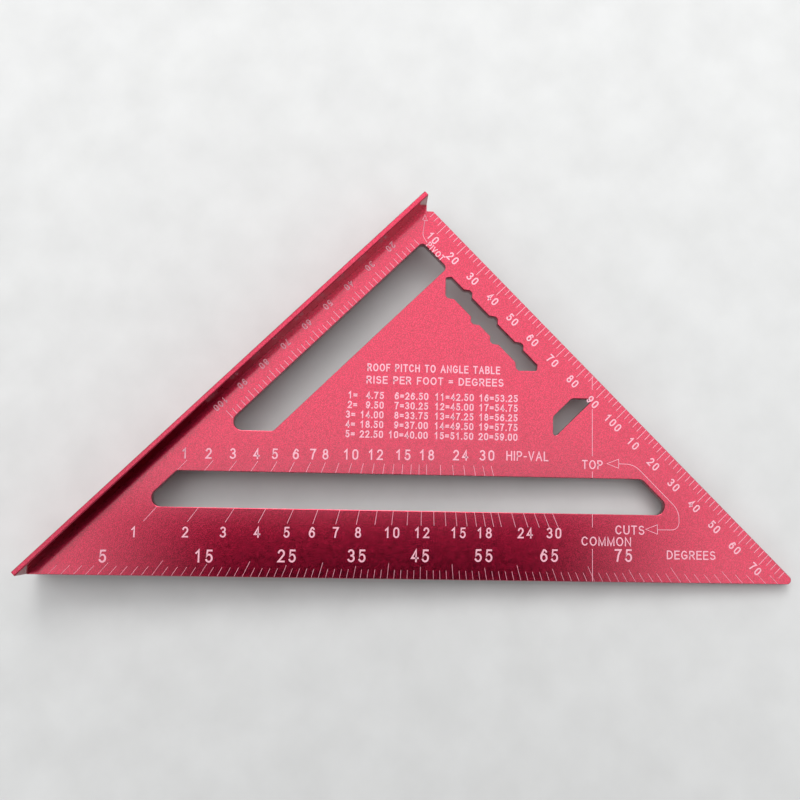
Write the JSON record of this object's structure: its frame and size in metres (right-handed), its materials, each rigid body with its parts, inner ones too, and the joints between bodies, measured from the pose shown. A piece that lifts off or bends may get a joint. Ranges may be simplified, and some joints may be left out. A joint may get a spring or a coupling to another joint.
{
  "type": "speed square",
  "caption": "Right-triangle layout square with a raised fence along one leg, two guide slots, a notched scribing slot, a marking window and a pivot notch.",
  "frame": {"origin": "middle of the fence's outer flat face, level with the middle of the blade's thickness", "axes": "+X along the fence, away from the ruler edge; +Y along the ruler edge, away from the fence; +Z out of the printed face"},
  "size_m": [0.1842, 0.1838, 0.026],
  "materials": {
    "blade": "bead-blasted red anodised, satin, with pale laser-marked scales",
    "fence": "bead-blasted red anodised, satin",
    "marks": "laser-bleached anodising, matt"
  },
  "bodies": {
    "root": {"blade": "blade", "fence": "fence"}
  },
  "joints": []
}
